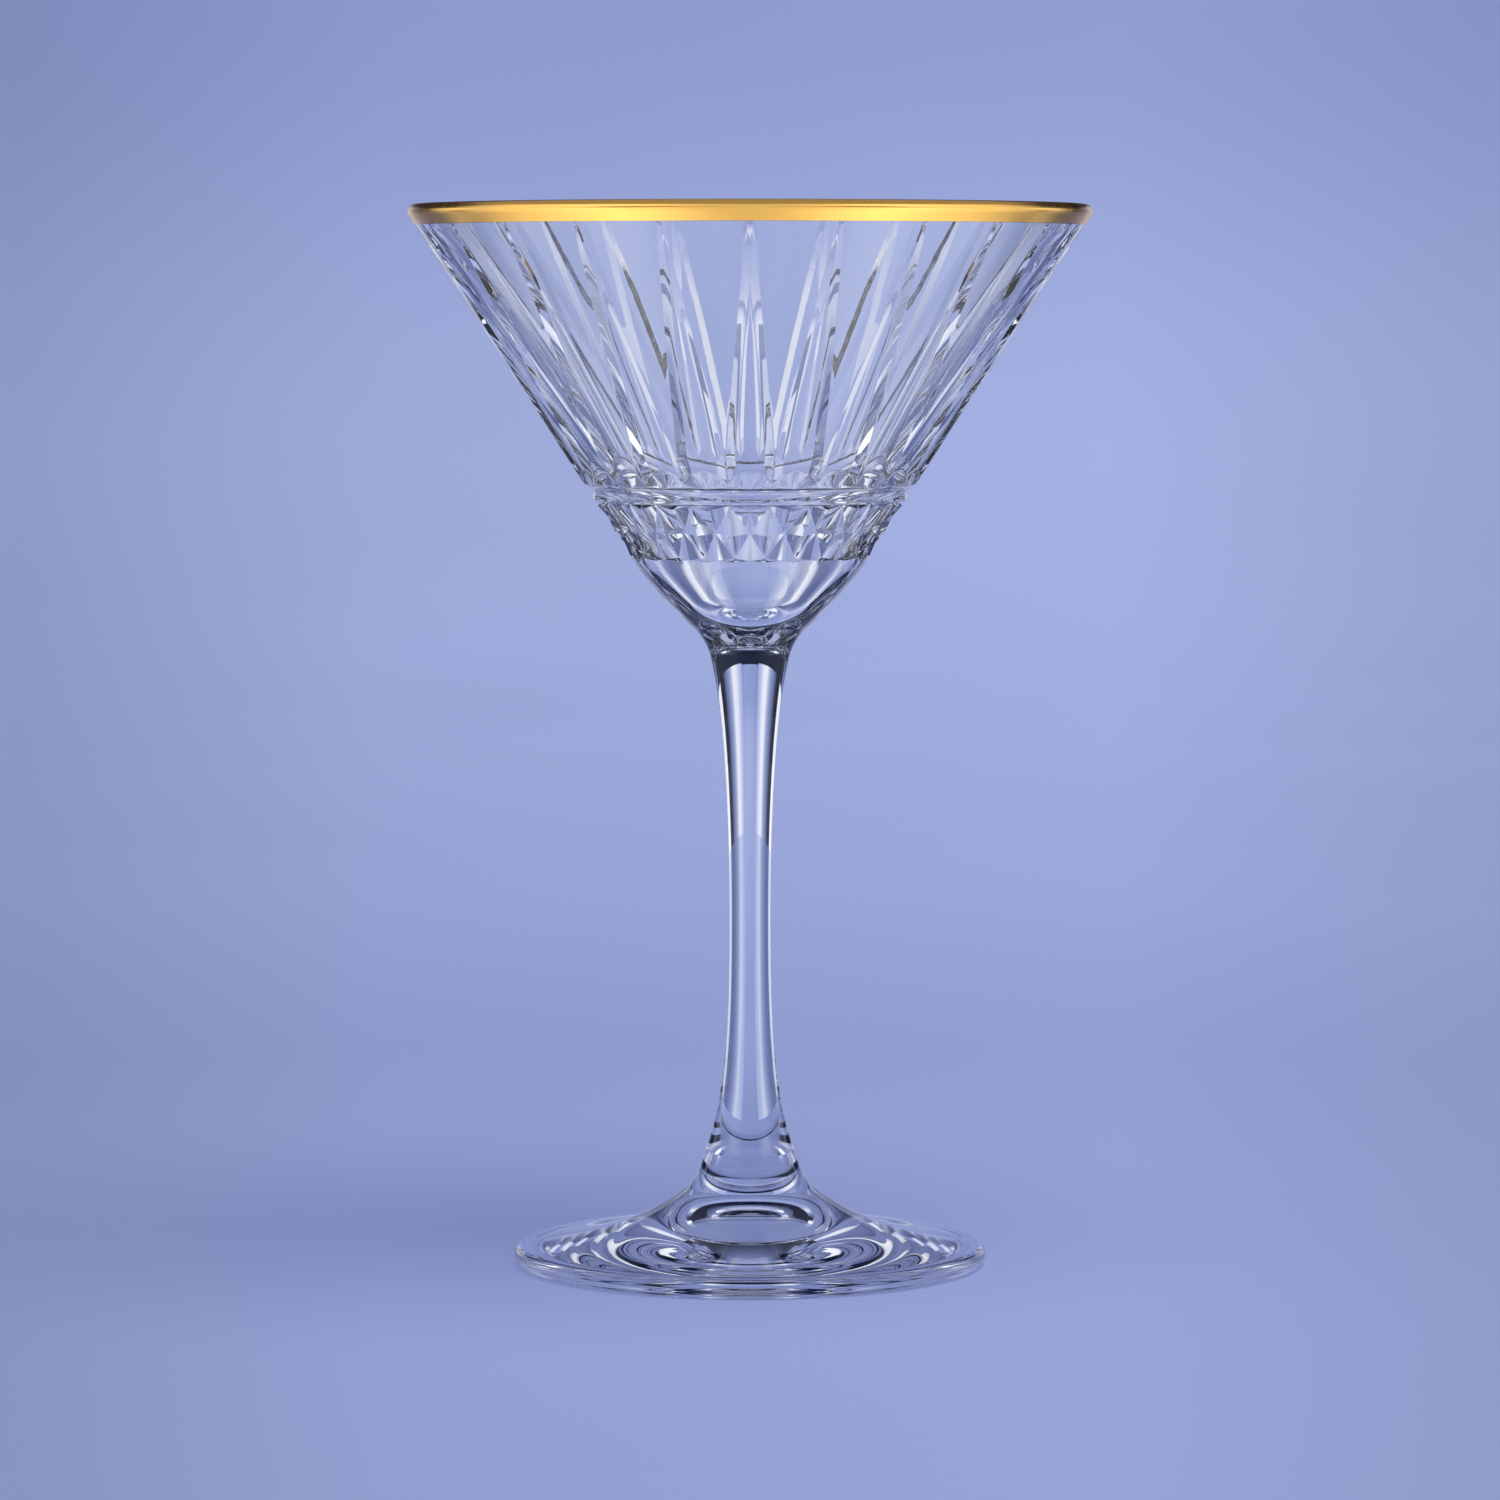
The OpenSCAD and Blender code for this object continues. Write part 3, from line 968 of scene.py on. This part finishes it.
# What stands behind above the paper, by its elevation: a dark band under a lit ceiling
HEIGHTS = [
    (14, 20, 24, 46),
    (17, 10, 13, 34),
    (40, 12, 16, 40),
    (52, 110, 121, 166),
    (64, 182, 190, 222),
    (90, 164, 172, 208),
]
ROOM_R, SIDE = 1.8, 62
LOW_TOP, HIGH_TOP = 32, 62
around_front = (SIDE, 360 - SIDE)
room = angle_material("room_front", FRONT)
tall = angle_material("room_back", HEIGHTS, upright=True)
black = card_material("card_black", (0.004, 0.006, 0.02, 1))
ceiling = card_material("card_top", (0.36, 0.37, 0.42, 1))
panel("room_low", *around_front, dome(ROOM_R, 0.5, LOW_TOP), room, seen_through=False)
panel("room_table", *around_front, [(0.06, 0.005), (1.79, 0.02)], room, seen_through=False)
panel("room_high", *around_front, dome(ROOM_R, LOW_TOP, HIGH_TOP), room, seen_through=False)
panel("dark_high", *around_front, dome(ROOM_R + 0.02, 26, HIGH_TOP), black)
panel("dark_back", -SIDE, SIDE, dome(ROOM_R - 0.05, 14, 90, 16), tall)
panel("dark_top", *around_front, dome(ROOM_R, HIGH_TOP, 90), black)
panel("room_top", 0, 360, dome(ROOM_R - 0.1, 40, 90, 12), ceiling, seen_through=False)

LAMP_AT, LAMP_AIM = Vector((0.25, -0.25, 1.2)), Vector((0, 0, 0.05))
lamp = bpy.data.lights.new("top_light", "AREA")
lamp.shape = "DISK"
lamp.size = 0.9
lamp.energy = 6.0
lamp.color = (0.97, 0.98, 1.0)
lamp_obj = bpy.data.objects.new("top_light", lamp)
lamp_obj.location = LAMP_AT
lamp_obj.rotation_euler = (LAMP_AT - LAMP_AIM).to_track_quat("Z", "Y").to_euler()
lamp_obj.visible_glossy = False
lamp_obj.visible_transmission = False
lamp_obj.visible_camera = False
bpy.context.scene.collection.objects.link(lamp_obj)

world = bpy.data.worlds.new("studio")
world.use_nodes = True
world.node_tree.nodes["Background"].inputs["Color"].default_value = srgb(*PAPER_HIGH_TONE)
world.node_tree.nodes["Background"].inputs["Strength"].default_value = 0.0
scene = bpy.context.scene
scene.world = world

CAMERA_AT, CAMERA_DOWN = (0.0, -0.975, 0.1562), 4.244
camera = bpy.data.cameras.new("camera")
camera.lens = 144.65
camera.sensor_width = 36.0
camera_obj = bpy.data.objects.new("camera", camera)
camera_obj.location = CAMERA_AT
camera_obj.rotation_euler = (math.radians(90 - CAMERA_DOWN), 0.0, 0.0)
scene.collection.objects.link(camera_obj)
scene.camera = camera_obj

scene.view_settings.view_transform = "Standard"
scene.view_settings.look = "None"
scene.cycles.max_bounces = 40
scene.cycles.transmission_bounces = 36
scene.cycles.glossy_bounces = 16
scene.cycles.diffuse_bounces = 2
scene.cycles.transparent_max_bounces = 48
scene.cycles.sample_clamp_indirect = 6.0
scene.cycles.blur_glossy = 0.2
scene.cycles.use_denoising = True
